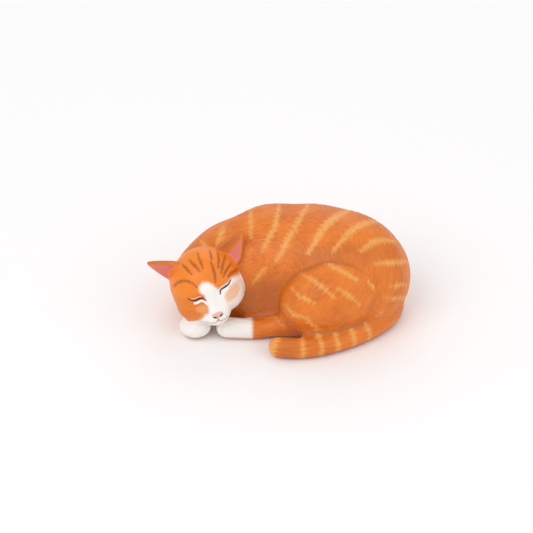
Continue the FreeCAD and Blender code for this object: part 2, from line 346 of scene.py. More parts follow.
class Skin:
    """The whole figure's carved skin: places, faces, the casting of each point and its masks."""

    def __init__(self, mesh):
        self.mesh = mesh
        self.places = vertex_places(mesh)
        self.ends = edge_ends(mesh)
        self.degree = np.bincount(self.ends.ravel(), minlength=len(self.places)).astype(float)
        self.casting = self.nearest_casting()
        self.masks = {}

    def nearest_casting(self):
        best = np.full(len(self.places), 1e9)
        casting = np.zeros(len(self.places), int)
        for number, name in enumerate(CASTINGS):
            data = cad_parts[name].data
            tree = BVHTree.FromPolygons([v.co for v in data.vertices],
                                        [p.vertices[:] for p in data.polygons])
            low, high = corner(name, 0) - 1.5, corner(name, 1) + 1.5
            near = np.nonzero(((self.places > low) & (self.places < high)).all(axis=1))[0]
            for i in near:
                gap = tree.find_nearest(Vector(self.places[i]) * MM)[3] / MM
                if gap < best[i]:
                    best[i] = gap
                    casting[i] = number
        return casting

    def on(self, *names):
        """1 on the named castings and 0 elsewhere."""
        numbers = [CASTINGS.index(n) for n in names]
        return np.isin(self.casting, numbers).astype(float)

    def around(self, values):
        """The mean of each point's neighbours."""
        total = np.bincount(self.ends[:, 0], values[self.ends[:, 1]], len(values))
        total += np.bincount(self.ends[:, 1], values[self.ends[:, 0]], len(values))
        return total / self.degree

    def spread(self, values, rounds):
        """Values averaged with their neighbours, a number of times."""
        for _ in range(rounds):
            values = 0.5 * values + 0.5 * self.around(values)
        return values

    def joins(self):
        """True where castings meet."""
        return np.abs(self.spread(self.casting.astype(float), 1) - self.casting) > 0.01

    def soften(self, share, rounds):
        """Smooths the skin where share is over 0, without shrinking it."""
        for turn in range(rounds * 2):
            pull = 0.55 if turn % 2 == 0 else -0.57
            mean = np.stack([self.around(self.places[:, k]) for k in range(3)], axis=1)
            self.places += (mean - self.places) * (share * pull)[:, None]

    def relax(self, share, rounds):
        """Smooths the skin where share is over 0, filling sharp hollows."""
        moving = np.nonzero(share > 0.001)[0]
        slot = np.full(len(self.places), -1)
        slot[moving] = np.arange(len(moving))
        ends = np.concatenate([self.ends, self.ends[:, ::-1]])
        ends = ends[slot[ends[:, 0]] >= 0]
        target, source = slot[ends[:, 0]], ends[:, 1]
        pull = 0.5 * share[moving]
        for _ in range(rounds):
            for k in range(3):
                total = np.bincount(target, self.places[source, k], len(moving))
                now = self.places[moving, k]
                self.places[moving, k] = now + (total / self.degree[moving] - now) * pull

    def store(self):
        set_places(self.mesh, self.places)

    def normals(self):
        self.store()
        return vertex_normals(self.mesh)

    def push(self, heights):
        """Moves each point out along its normal by its height."""
        self.places += self.normals() * heights[:, None]


def refined(skin_mesh, casting, names):
    """Each quad of the named castings cut in four."""
    numbers = {CASTINGS.index(n) for n in names}
    work = bmesh.new()
    work.from_mesh(skin_mesh)
    work.verts.ensure_lookup_table()
    inside = [casting[v.index] in numbers for v in work.verts]
    edges = [e for e in work.edges if inside[e.verts[0].index] and inside[e.verts[1].index]]
    bmesh.ops.subdivide_edges(work, edges=edges, cuts=1, use_grid_fill=True)
    bmesh.ops.triangulate(work, faces=[f for f in work.faces if len(f.verts) > 4])
    work.to_mesh(skin_mesh)
    work.free()
    return skin_mesh


# ---- Comb: which way the fur lies

TAIL_LENGTH = 84.0
CURL_RADIUS = 34.0  # turns an angle round the curl into a length along the fur
FACE_CENTRE = (1.0, -3.0, 0.0)  # the head's fur runs out from here
THIGH_COMB = math.radians(52.0)  # the thigh's fur runs up to the right at this angle


def comb_places(skin):
    """For each point, how far it is along the fur, across it, and off it, in mm."""
    flat = on_curl_plane(skin.places)
    depth = (skin.places - CURL_CENTRE) @ CURL_NORMAL
    angle = np.arctan2(flat[:, 0], flat[:, 1])
    comb = np.stack([angle * CURL_RADIUS, np.linalg.norm(flat, axis=1), depth], axis=1)
    cos, sin = math.cos(THIGH_COMB), math.sin(THIGH_COMB)
    haunch = np.stack([flat[:, 0] * cos + flat[:, 1] * sin,
                       -flat[:, 0] * sin + flat[:, 1] * cos, depth], axis=1)
    gap, share = line_gap(skin.places[:, :2], tail_line())
    tail = np.stack([share * TAIL_LENGTH, skin.places[:, 2], gap], axis=1)
    face = in_head(skin.places) - np.array(FACE_CENTRE)
    ray = np.arctan2(face[:, 0], face[:, 1])
    reach = np.linalg.norm(face[:, :2], axis=1)
    head = np.stack([reach, ray * 9.0, face[:, 2] * 0.5], axis=1)
    for names, given in ((("thigh",), haunch), (("hind_foot", "front_paw"), skin.places),
                         (("tail",), tail), (("head", "ear_left", "ear_right"), head)):
        mine = skin.on(*names) > 0.5
        comb[mine] = given[mine]
    return comb


def tail_line():
    """The tail's middle line on the floor, from its root to its tip."""
    low, high = corner("tail", 0), corner("tail", 1)
    size = high - low
    shares = [(0.78, 0.95), (0.92, 0.79), (0.90, 0.64), (0.83, 0.50), (0.71, 0.36), (0.53, 0.21),
              (0.31, 0.105), (0.125, 0.095), (0.006, 0.135)]
    return curve_through([(low[0] + x * size[0], low[1] + y * size[1]) for x, y in shares])


# ---- Carving


def carve_locks(skin, sizes):
    """Grooves between locks of fur, along the way that the fur lies."""
    comb = skin.comb
    long, wide = sizes.lock_length_mm, sizes.lock_width_mm
    coarse = grain_noise(comb, (long, wide, wide), 1)
    fine = grain_noise(comb, (long * 0.5, wide * 0.45, wide * 0.45), 2)
    groove = 1.0 - np.abs(coarse) * 2.2
    groove = np.clip(groove, 0.0, 1.0) ** 2 + 0.45 * np.clip(1.0 - np.abs(fine) * 2.4, 0.0, 1.0) ** 2
    share = skin.on("torso", "thigh", "tail") + 0.5 * skin.on("hind_foot") + 0.35 * skin.on("head")
    share = skin.spread(np.clip(share, 0.0, 1.0), 6)
    dry_foot = smooth_step(1.2, 4.0, skin.places[:, 2])
    skin.push(-sizes.lock_depth_mm * groove * share * dry_foot)


# The lines of the face, in the head's own across and up axes. The eye at the viewer's left is first.
EYES = (
    [(-8.8, 2.0), (-7.8, 1.1), (-6.2, 0.7), (-4.2, 1.0), (-2.9, 0.5), (-2.0, -1.0)],
    [(11.4, 2.6), (9.9, 1.7), (8.2, 1.5), (6.6, 1.3), (5.6, 0.7), (5.0, -0.8)],
)
NOSE = (0.8, -7.7)
PHILTRUM = [(0.6, -8.9), (0.1, -10.6)]
MOUTH_LEFT = [(0.1, -10.6), (-1.6, -11.4), (-3.6, -10.9), (-5.4, -9.8)]
MOUTH_RIGHT = [(0.1, -10.6), (1.4, -11.5), (3.0, -11.6), (4.5, -11.0)]


def bump(places, centre, radii, height):
    """A rounded swelling on a plane."""
    size = (((places - np.array(centre)) / np.array(radii)) ** 2).sum(axis=1)
    return height * np.exp(-1.2 * size)


def carve_face(skin):
    """Closed lids, nose, lips and cheeks, raised or cut along the skin's normals."""
    local = in_head(skin.places)
    flat = local[:, :2]
    front = smooth_step(3.0, 7.0, local[:, 2]) * skin.spread(skin.on("head"), 2)
    rise = np.zeros(len(flat))
    for line in EYES:
        inner = np.mean(line, axis=0)
        rise += bump(flat, inner + np.array([0.0, 1.3]), (3.6, 1.7), 0.55)
        rise += bump(flat, inner + np.array([0.0, -1.6]), (3.4, 1.4), 0.32)
        gap, _ = line_gap(flat, curve_through(line))
        rise -= 0.55 * np.exp(-(gap / 0.42) ** 2)
    rise += bump(flat, (1.3, 2.0), (1.5, 6.5), 0.35)
    rise += bump(flat, NOSE, (2.3, 1.25), 0.75)
    for side in (-1, 1):
        rise += bump(flat, (0.8 + side * 2.6, -9.3), (2.4, 1.7), 0.60)
        rise -= bump(flat, (NOSE[0] + side * 1.5, NOSE[1] - 0.7), (0.55, 0.40), 0.55)
        rise -= bump(flat, (1.1 + side * 3.4, -0.6), (1.6, 3.0), 0.45)
    philtrum, _ = line_gap(flat, PHILTRUM)
    rise -= 0.45 * np.exp(-(philtrum / 0.35) ** 2)
    for line in (MOUTH_LEFT, MOUTH_RIGHT):
        gap, _ = line_gap(flat, curve_through(line))
        rise -= 0.45 * np.exp(-(gap / 0.38) ** 2)
    skin.push(rise * front)


def carve_toes(skin):
    """Shallow cuts between the toes of the hind foot."""
    rise = np.zeros(len(skin.places))
    toe = corner("hind_foot", 0)[0]
    foot = skin.on("hind_foot")
    reach = smooth_step(toe + 6.0, toe + 2.5, skin.places[:, 0])
    for share in (-0.42, 0.0, 0.42):
        across = middle("hind_foot")[1] + share * 6.0 - skin.places[:, 1]
        rise -= 0.16 * np.exp(-(across / 0.55) ** 2) * reach * foot
    skin.push(skin.spread(rise, 1))


def near_join(skin, first, second, rounds):
    """1 on the join of two castings, falling to 0 some rings of points away."""
    ends = skin.ends
    kinds = skin.casting[ends]
    pair = np.sort([CASTINGS.index(first), CASTINGS.index(second)])
    crossing = (np.sort(kinds, axis=1) == pair).all(axis=1)
    share = np.zeros(len(skin.places))
    share[ends[crossing].ravel()] = 1.0
    return np.clip(skin.spread(share, rounds) * math.sqrt(rounds) * 1.6, 0.0, 1.0)


def knee_share(skin):
    """How far each point gives way where the shank runs into the thigh."""
    high = corner("thigh", 0)[2] + 9.0
    reach = smooth_step(high + 5.0, high - 3.0, skin.places[:, 2])
    return near_join(skin, "thigh", "hind_foot", 140) * reach * skin.on("thigh", "hind_foot")


KNEE_ROUNDS = 700  # rounds of smoothing where the shank runs into the thigh
HAUNCH_ROUNDS = 260  # and where the thigh runs into the rump
TAIL_ROUNDS = 400  # and where the tail leaves it


def carved_skin(sizes):
    """The whole figure, joined, softened at its joins and carved."""
    mesh = outer_skin(remeshed(joined_castings(), sizes.grain_mm))
    mesh = slip_filled(mesh, sizes.grain_mm, (sizes.head_bead_mm, sizes.body_bead_mm))
    skin = Skin(mesh)
    body = skin.on("torso", "thigh", "tail", "hind_foot", "front_paw", "head")
    seam = skin.spread(skin.joins().astype(float), 5) * 2.5
    rump = smooth_step(12.0, 24.0, skin.places[:, 0]) * smooth_step(11.0, 16.0, skin.places[:, 2])
    skin.relax(np.clip(seam * (0.45 + 0.55 * rump), 0.0, 1.0) * body, 30)
    skin.relax(knee_share(skin), KNEE_ROUNDS)
    haunch = near_join(skin, "torso", "thigh", 45) * rump
    skin.relax(haunch * skin.on("torso", "thigh"), HAUNCH_ROUNDS)
    root = smooth_step(-20.0, -10.0, skin.places[:, 1])
    skin.relax(near_join(skin, "torso", "tail", 70) * root * skin.on("torso", "tail"), TAIL_ROUNDS)
    skin.soften(body, 26)
    skin.soften(skin.on("ear_left", "ear_right"), 3)
    skin.relax(np.clip(seam, 0.0, 1.0) * skin.on("ear_left", "ear_right", "head"), 6)
    skin.store()
    small = ("head", "ear_left", "ear_right", "front_paw", "hind_foot")
    fine = Skin(refined(skin.mesh, skin.casting, small))
    fine.soften(fine.on(*small), 3)
    fine.comb = comb_places(fine)
    carve_face(fine)
    carve_toes(fine)
    carve_locks(fine, sizes)
    floor = corner("torso", 0)[2]
    fine.places[:, 2] = np.where(fine.places[:, 2] < floor + 0.35, floor, fine.places[:, 2])
    low, high = np.array(CAD_BOX) / MM
    fine.places = np.clip(fine.places, low, high)
    fine.store()
    return fine


# ---- Markings, painted shade and painted highlights

# Tabby stripes, as points on the plane that the body curls in, from the curl's centre, with a
# width. Each runs from the ridge of the back towards the curl's centre.
TORSO_STRIPES = [
    ([(-6.5, 31), (-6, 20)], 2.6),
    ([(6.5, 36), (4.5, 25), (-1, 14)], 2.8),
    ([(19, 34), (12, 22), (5, 9)], 3.0),
    ([(39, 33), (28, 26), (19, 13)], 3.6),
    ([(50, 27), (40, 24), (30, 14)], 3.2),
    ([(57, 18), (49, 18), (42, 14)], 3.0),
    ([(63, 9), (48, 8)], 2.6),
    ([(62, -1), (55, -2)], 2.0),
    ([(62, -7), (52, -7)], 1.8),
    ([(52, -13), (49, -15)], 1.8),
    ([(0, 6), (-5, 0)], 2.2),
    ([(-18, 24), (-21, 17)], 3.2),
    ([(-28, 18), (-24, 13)], 2.4),
]
THIGH_STRIPES = [
    ([(26, 8.5), (32, 5.5), (40, 1)], 2.4),
    ([(16, 3.5), (22, 0), (30, -6.5)], 2.2),
    ([(11.5, -2.5), (15, -6), (21.5, -9)], 2.0),
    ([(32, -3), (37.5, -6.5), (41, -10)], 2.2),
    ([(45, 0), (49.5, -5)], 1.8),
    ([(9, -10), (12.5, -14), (19, -15.5)], 2.0),
    ([(18, -16), (22.5, -20)], 2.0),
    ([(4, -15), (8.5, -20)], 1.2),
]
TAIL_BANDS = (0.469, 0.560, 0.650, 0.736, 0.825)  # shares of the tail's length from its root
WHITE_EDGE = [(-8.2, -9.6), (-4.6, -6.4), (-2.6, -5.6), (-1.9, -2.5), (-1.6, 2.0), (-1.0, 5.6),
              (1.0, 6.6), (3.2, 4.8), (4.9, 2.0), (6.6, 2.1), (9.9, 2.5), (12.0, 3.2), (16.0, 1.6)]
BLAZE_TOP = ((0.1, 4.3), (2.9, 2.9))  # centre and radii of its rounded top
BROWS = [
    ([(-12.9, 7.8), (-10.4, 9.5), (-7.4, 9.9), (-4.9, 8.6), (-3.4, 6.2)], 0.8),
    ([(11.0, 4.6), (12.9, 4.9), (15.2, 4.0)], 1.2),
]
FOREHEAD_STREAKS = [
    ([(-5.9, 15.3), (-4.7, 13.8), (-3.5, 11.9)], 1.0),
    ([(-2.3, 16.2), (-0.9, 14.2), (0.2, 11.9)], 1.1),
    ([(1.8, 17.0), (1.9, 15.2), (2.1, 12.6)], 1.0),
    ([(7.2, 15.8), (6.9, 13.8)], 1.0),
    ([(6.1, 13.0), (6.0, 9.2), (5.0, 5.4)], 1.1),
    ([(10.0, 14.1), (9.6, 12.2), (8.3, 10.0)], 1.0),
    ([(12.2, 11.2), (10.4, 9.7), (8.7, 7.4)], 1.1),
    ([(13.7, 7.8), (11.0, 7.2), (9.0, 5.6)], 1.0),
]


def stripes_mask(flat, stripes):
    """Distance into the nearest stripe, in mm: positive inside it."""
    inside = np.full(len(flat), -FAR)
    for line, width in stripes:
        gap, along = line_gap(flat, curve_through(line) if len(line) > 2 else line)
        taper = 0.55 + 0.45 * np.sin(np.pi * np.clip(along, 0.05, 0.95))
        inside = np.maximum(inside, width / 2 * taper - gap)
    return inside


def paint_coat(skin):
    """Where the cream stripes, the white and the painted shade in the hollows and creases lie on the
    body.
    """
    flat = on_curl_plane(skin.places)
    cream = np.full(len(flat), -FAR)
    for names, stripes in ((("torso",), TORSO_STRIPES), (("thigh", "hind_foot"), THIGH_STRIPES)):
        on = skin.on(*names) > 0.5
        cream[on] = stripes_mask(flat[on], stripes)
    on_tail = skin.on("tail") > 0.5
    _, share = line_gap(skin.places[:, :2], tail_line())
    bands = np.max([1.15 - np.abs(share - b) * TAIL_LENGTH for b in TAIL_BANDS], axis=0)
    tip = (share - 0.945) * TAIL_LENGTH
    cream[on_tail] = np.maximum(bands, tip)[on_tail]
    skin.masks["cream"] = cream

    sock = corner("hind_foot", 0)[0] + 16.0 - skin.places[:, 0]
    white = np.where(skin.on("hind_foot") > 0.5, sock, -FAR)
    skin.masks["white"] = np.where(skin.on("front_paw") > 0.5, FAR, white)

    # Painted shade: darker in the hollow between head and haunch and along the fold above the haunch
    bay = blob_gap(flat, (0.0, -9.0), (13.0, 11.0), 0.0)
    painted_shade = 0.95 * smooth_step(-7.0, 6.0, bay) * skin.on("torso")
    fold = blob_gap(flat, (34.0, 11.5), (19.0, 4.5), 4.0)
    painted_shade = np.maximum(painted_shade, 0.42 * smooth_step(-3.0, 3.0, fold) * skin.on("torso"))
    # Painted shade in the creases where the thigh, tail, torso and hind foot meet
    crease = skin.spread(skin.joins() * skin.on("thigh", "tail", "torso", "hind_foot"), 9)
    crease *= 1.0 - near_join(skin, "thigh", "hind_foot", 16)
    painted_shade = np.maximum(painted_shade, np.clip(crease * 2.4, 0.0, 0.75) * smooth_step(46.0, 34.0, flat[:, 0]))
    painted_shade = np.maximum(painted_shade, 0.62 * near_join(skin, "thigh", "tail", 7))
    front_edge = smooth_step(22.0, 12.0, skin.places[:, 0])
    painted_shade = np.maximum(painted_shade, 0.62 * near_join(skin, "thigh", "torso", 6) * front_edge)
    # Painted shade in a band across the tail near its tip
    patch = smooth_step(2.0, 4.0, np.abs(share - 0.895) * TAIL_LENGTH)
    painted_shade = np.maximum(painted_shade, 0.40 * (1.0 - patch) * on_tail)
    skin.masks["painted_shade"] = skin.spread(painted_shade, 3)


def paint_face(skin):
    """Where the blaze, the cheeks' patches, the eyes with their painted highlights, the nose, the ears'
    pink and painted shade, and the streaks lie.
    """
    local = in_head(skin.places)
    flat = local[:, :2]
    on_head = skin.on("head") > 0.5
    front = local[:, 2] > 1.0
    face = on_head & front

    chain = np.array(curve_through(WHITE_EDGE))
    gap, _ = line_gap(flat, chain)
    edge_height = np.interp(flat[:, 0], chain[:, 0], chain[:, 1])
    below = np.maximum(np.where(flat[:, 1] < edge_height, gap, -gap), blob_gap(flat, *BLAZE_TOP))
    skin.masks["white"][face] = below[face]
    skin.masks["white"][on_head & ~front] = -FAR

    peach = np.maximum(blob_gap(flat, (10.2, -2.4), (4.8, 3.0), 30.0),
                       blob_gap(flat, (-4.8, -3.8), (2.8, 1.9), 0.0))
    # Painted shade: peach along the bottom of the white paw and foot, within 1.3 mm of the floor
    rim = 1.3 - (skin.places[:, 2] - corner("torso", 0)[2])
    white_feet = (skin.on("front_paw", "hind_foot") > 0.5) & (skin.masks["white"] > 0.5)
    skin.masks["peach"] = np.where(face, peach, np.where(white_feet, rim, -FAR))

    ink, painted_lid_highlight, lip = (np.full(len(flat), FAR) for _ in range(3))
    for line in EYES:
        chain = np.array(curve_through(line))
        gap, along = line_gap(flat, chain)
        ink = np.minimum(ink, gap - 0.38 * (0.45 + 0.55 * np.sin(np.pi * np.clip(along, 0.04, 0.96))))
        # Painted highlights in white: a thin line over each closed eye and a broader one under it
        above, _ = line_gap(flat, chain[len(chain) // 4:-len(chain) // 5] + np.array([0.0, 1.05]))
        painted_lid_highlight = np.minimum(painted_lid_highlight, above - 0.04)
        lid, _ = line_gap(flat, chain[len(chain) // 3:] + np.array([0.0, -1.2]))
        painted_lid_highlight = np.minimum(painted_lid_highlight, lid - 0.45)
    for side in (-1, 1):
        nostril = blob_gap(flat, (NOSE[0] + side * 1.45, NOSE[1] - 0.75), (0.85, 0.42), side * 22.0)
        ink = np.minimum(ink, -nostril)
    for line in (MOUTH_LEFT, MOUTH_RIGHT, PHILTRUM):
        lip = np.minimum(lip, line_gap(flat, line)[0] - 0.16)
    for mask, values in (("ink", ink), ("painted_lid_highlight", painted_lid_highlight), ("lip", lip)):
        skin.masks[mask] = np.where(face, values, FAR)

    nose = blob_gap(flat, NOSE, (2.4, 1.15), -3.0)
    pink = np.where(face, np.minimum(nose, 0.05), -FAR)
    for name in EAR_TWIST:
        on = skin.on(name) > 0.5
        pink[on] = ear_hollow(skin, name, on)
        # Painted shade deep in the hollow of each ear
        skin.masks["painted_shade"][on] = 0.55 * smooth_step(-0.4, -1.6, pink[on])
    skin.masks["pink"] = pink

    streak = stripes_mask(flat, BROWS + FOREHEAD_STREAKS)
    skin.masks["streak"] = np.where(face, streak, -FAR)

    crown = smooth_step(1.0, 5.0, flat[:, 1]) * on_head
    skin.masks["crown"] = skin.spread(crown, 2)


EAR_LEAN = math.radians(52.0)
EAR_LENGTH = 10.9
EAR_HALF_WIDTH = 5.8
EAR_FUR = 0.42  # share of the left ear's hollow that fur folds over
EAR_TWIST = {"ear_left": 0.0, "ear_right": math.radians(-35.0)}


def ear_hollow(skin, name, on):
    """Distance inside the hollow of an ear, from how far its skin turns towards the opening."""
    side = 1 if name == "ear_left" else -1
    turn = (HEAD_TURN @ Matrix.Rotation(-side * EAR_LEAN, 3, Vector((0, -1, 0)))
            @ Matrix.Rotation(math.radians(-6.0), 3, "X") @ Matrix.Rotation(EAR_TWIST[name], 3, "Z"))
    opening = np.array(turn @ Vector((0, -1, 0)))
    across = np.array(turn @ Vector((1, 0, 0)))
    length = np.array(turn @ Vector((0, 0, 1)))
    ear = skin.places[on]
    tip = ear[(ear @ length).argmax()]
    below = (tip - ear) @ length
    half = EAR_HALF_WIDTH * np.clip(below / EAR_LENGTH, 0.0, 1.0) ** 0.75
    fur = EAR_FUR * half if name == "ear_left" else 0.0
    inner = half - fur - 1.0 - np.abs((ear - tip) @ across - fur)
    facing = (skin.normals()[on] @ opening - 0.30) * 3.0
    return np.minimum(inner, facing)


# ---- Parting the skin into castings


def face_rows(mesh):
    """The corners of each face."""
    return [tuple(p.vertices) for p in mesh.polygons]


def sides(row):
    """The ends of each edge round a face."""
    return zip(row, row[1:] + row[:1])


def clean_parting(skin):
    """The casting of each face, without ragged edges or loose crumbs."""
    casting = skin.casting.copy()
    for _ in range(4):
        votes = np.stack([skin.spread((casting == n).astype(float), 2) for n in range(len(CASTINGS))])
        casting = votes.argmax(axis=0)
    skin.casting = casting
    rows = face_rows(skin.mesh)
    labels = np.array([np.bincount(casting[list(r)], minlength=len(CASTINGS)).argmax() for r in rows])
    around = [[] for _ in range(len(skin.places))]
    for number, row in enumerate(rows):
        for v in row:
            around[v].append(number)
    edge_faces = {}
    for number, row in enumerate(rows):
        for a, b in sides(row):
            edge_faces.setdefault((min(a, b), max(a, b)), []).append(number)
    pairs = np.array([f for f in edge_faces.values() if len(f) == 2])
    for _ in range(6):
        labels = without_crumbs(labels, pairs)
        labels, changed = without_pinches(labels, around, edge_faces)
        if not changed:
            break
    return rows, labels


def without_crumbs(labels, pairs):
    """Small loose patches of a casting given to what surrounds them."""
    same = pairs[labels[pairs[:, 0]] == labels[pairs[:, 1]]]
    island = island_of(len(labels), same)
    for number in range(len(CASTINGS)):
        mine = labels == number
        if not mine.any():
            continue
        names, counts = np.unique(island[mine], return_counts=True)
        main = names[counts.argmax()]
        crumbs = mine & (island != main)
        for _ in range(60):
            if not crumbs.any():
                break
            for a, b in ((0, 1), (1, 0)):
                touch = crumbs[pairs[:, a]] & ~crumbs[pairs[:, b]]
                labels[pairs[touch, a]] = labels[pairs[touch, b]]
                crumbs[pairs[touch, a]] = False
    return labels


def without_pinches(labels, around, edge_faces):
    """Points where one casting touches itself only at a corner are filled in."""
    borders = {}
    for (a, b), faces in edge_faces.items():
        if len(faces) == 2 and labels[faces[0]] != labels[faces[1]]:
            for face in faces:
                for v in (a, b):
                    key = (v, labels[face])
                    borders[key] = borders.get(key, 0) + 1
    pinched = [key for key, count in borders.items() if count > 2]
    for v, label in pinched:
        for face in around[v]:
            labels[face] = label
    return labels, bool(pinched)


def closed_patch(skin, rows, labels, name, sizes):
    """One casting's part of the skin as a closed mesh, with the skin points that it starts from."""
    mine = [r for r, label in zip(rows, labels) if CASTINGS[label] == name]
    used = sorted({v for r in mine for v in r})
    order = {v: i for i, v in enumerate(used)}
    faces = [tuple(order[v] for v in r) for r in mine]
    places = skin.places[used]
    shared = skin.normals()[used]
    normals = crease_normals(shared, places, faces)
    seen = dict.fromkeys(side for row in faces for side in sides(row))
    rim = [(a, b) for a, b in seen if (b, a) not in seen]
    if name in ("torso", "thigh", "head"):
        places, normals, faces = cone_closed(places, normals, -shared, faces, rim, name)
    else:
        wall = sizes.ear_wall_mm if name.startswith("ear") else sizes.wall_mm
        count = len(places)
        places = np.concatenate([places, places - normals * wall])
        normals = np.concatenate([normals, -normals])
        inner = [tuple(i + count for i in reversed(r)) for r in faces]
        joins = [(b, a, a + count, b + count) for a, b in rim]
        faces = faces + inner + joins
    return used, places, normals, faces


def crease_normals(shared, places, faces):
    """Normals that run on over a soft join, but stop at a sharp crease between two castings."""
    own = np.zeros_like(places)
    quads = np.array([r if len(r) == 4 else (*r, r[-1]) for r in faces])
    flat = np.cross(places[quads[:, 2]] - places[quads[:, 0]], places[quads[:, 3]] - places[quads[:, 1]])
    triangles = quads[:, 2] == quads[:, 3]
    flat[triangles] = np.cross(places[quads[triangles, 1]] - places[quads[triangles, 0]],
                               places[quads[triangles, 2]] - places[quads[triangles, 0]])
    for corner_number in range(4):
        np.add.at(own, quads[:, corner_number], flat)
    length = np.linalg.norm(own, axis=1)
    own /= np.maximum(length, 1e-12)[:, None]
    sharp = ((own * shared).sum(axis=1) < math.cos(math.radians(22.0))) & (length > 1e-9)
    return np.where(sharp[:, None], own, shared)


COLLAR_DEPTH = 2.0  # the collar dives this far, so that nothing behind it shows in a hollow


def rim_loops(rim):
    """The rim's edges, gathered into loops."""
    parent = {}

    def root(v):
        while parent.setdefault(v, v) != v:
            v = parent[v]
        return v

    for a, b in rim:
        parent[root(a)] = root(b)
    loops = {}
    for a, b in rim:
        loops.setdefault(root(a), []).append((a, b))
    return list(loops.values())


def cone_closed(places, normals, inward, faces, rim, name):
    """Each opening closed by a collar that dives under the skin and a cone towards the middle."""
    heart = {"torso": middle("torso"), "thigh": middle("thigh"), "head": HEAD_CENTRE}[name]
    faces = list(faces)
    collar = {v: len(places) + k for k, v in enumerate(sorted({v for edge in rim for v in edge}))}
    edge = np.array(list(collar), int)
    places = np.concatenate([places, places[edge] + inward[edge] * COLLAR_DEPTH])
    normals = np.concatenate([normals, inward[edge]])
    faces += [(b, a, collar[a], collar[b]) for a, b in rim]
    for loop in rim_loops(rim):
        ring = np.array([places[collar[a]] for a, _ in loop]).mean(axis=0)
        apex = heart + (ring - heart) * 0.25
        index = len(places)
        places = np.concatenate([places, apex[None]])
        normals = np.concatenate([normals, ((ring - heart) / np.linalg.norm(ring - heart))[None]])
        faces += [(collar[b], collar[a], index) for a, b in loop]
    return places, normals, faces


SHOP = {}


def workshop():
    """The carved and parted skin, made once and shared by the operators."""
    if not SHOP:
        sizes = bpy.context.scene.casting_sizes
        skin = carved_skin(sizes)
        rows, labels = clean_parting(skin)
        paint_coat(skin)
        paint_face(skin)
        SHOP.update(skin=skin, rows=rows, labels=labels)
    return SHOP


MASKS = ("cream", "white", "peach", "ink", "painted_lid_highlight", "lip", "pink", "painted_shade", "crown", "streak")


def casting_piece(name, material):
    """Makes one casting as a finished piece in place of its plain solid."""
    shop = workshop()
    skin = shop["skin"]
    used, places, normals, faces = closed_patch(
        skin, shop["rows"], shop["labels"], name, bpy.context.scene.casting_sizes)
    mesh = bpy.data.meshes.new(name + "_casting")
    mesh.from_pydata((places * MM).tolist(), [], faces)
    mesh.materials.append(material)
    mesh.shade_smooth()
    extra = len(places) - len(used)
    stored = [(mask, "FLOAT", "value", skin.masks[mask]) for mask in MASKS]
    for label, kind, field, values in stored + [("comb", "FLOAT_VECTOR", "vector", skin.comb)]:
        values = values[used]
        spare = values if extra == len(used) else np.repeat(values.mean(axis=0)[None], extra, axis=0)
        attribute = mesh.attributes.new(label, kind, "POINT")
        attribute.data.foreach_set(field, np.concatenate([values, spare]).ravel())
    mesh.validate()
    mesh.normals_split_custom_set_from_vertices(normals.tolist())
    piece = linked_object(name + "_casting", mesh)
    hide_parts(name)
    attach(piece, "root")
    return piece


# ---- Shader parts


class Wiring:
    """Short calls for placing and joining a tree's nodes."""

    def __init__(self, tree):
        self.tree = tree
        self.column = 0

    def node(self, kind, **settings):
        node = self.tree.nodes.new(kind)
        node.location = (self.column * 180, 0)
        self.column += 1
        for key, value in settings.items():
            setattr(node, key, value)
        return node

    def feed(self, socket, value):
        if isinstance(value, bpy.types.NodeSocket):
            self.tree.links.new(value, socket)
        else:
            socket.default_value = value

    def math(self, operation, a, b):
        node = self.node("ShaderNodeMath", operation=operation)
        self.feed(node.inputs[0], a)
        self.feed(node.inputs[1], b)
        return node.outputs[0]

    def step(self, value, low, high):
        """0 under low and 1 over high, with soft ends."""
        node = self.node("ShaderNodeMapRange", interpolation_type="SMOOTHSTEP")
        for socket, given in zip(node.inputs, (value, low, high, 0.0, 1.0)):
            self.feed(socket, given)
        return node.outputs[0]

    def blend(self, share, a, b):
        node = self.node("ShaderNodeMix", data_type="RGBA")
        self.feed(node.inputs["Factor"], share)
        self.feed(node.inputs[6], a)
        self.feed(node.inputs[7], b)
        return node.outputs[2]

    def scaled(self, vector, scale):
        node = self.node("ShaderNodeVectorMath", operation="MULTIPLY")
        self.feed(node.inputs[0], vector)
        node.inputs[1].default_value = scale
        return node.outputs[0]

    def noise(self, vector, scale=1.0, detail=2.0, roughness=0.5):
        node = self.node("ShaderNodeTexNoise")
        self.feed(node.inputs["Vector"], vector)
        node.inputs["Scale"].default_value = scale
        node.inputs["Detail"].default_value = detail
        node.inputs["Roughness"].default_value = roughness
        return node.outputs["Fac"]

    def attribute(self, name):
        node = self.node("ShaderNodeAttribute", attribute_name=name)
        return node.outputs["Vector"] if name == "comb" else node.outputs["Fac"]


BRISTLES = {  # the scale of each kind of stroke along, across and off the comb, and its detail
    "Stroke": ((0.16, 1.1, 1.1), 3.0),
    "Hair": ((0.42, 3.0, 3.0), 2.0),
    "Blotch": ((0.07, 0.11, 0.11), 2.0),
}


def bristle_group():
    """Brush strokes along the comb: long soft ones, fine hairs and broad blotches."""
    tree = bpy.data.node_groups.new("Bristle strokes", "ShaderNodeTree")
    tree.interface.new_socket(name="Comb", in_out="INPUT", socket_type="NodeSocketVector")
    for label in BRISTLES:
        tree.interface.new_socket(name=label, in_out="OUTPUT", socket_type="NodeSocketFloat")
    wire = Wiring(tree)
    comb = wire.node("NodeGroupInput").outputs["Comb"]
    leave = wire.node("NodeGroupOutput")
    for label, (scale, detail) in BRISTLES.items():
        wire.feed(leave.inputs[label], wire.noise(wire.scaled(comb, scale), 1.0, detail))
    return tree


def rgba(colour):
    return (*colour, 1.0)


def new_material(name):
    material = bpy.data.materials.new(name)
    material.use_nodes = True
    material.node_tree.nodes.clear()
    return material, Wiring(material.node_tree)


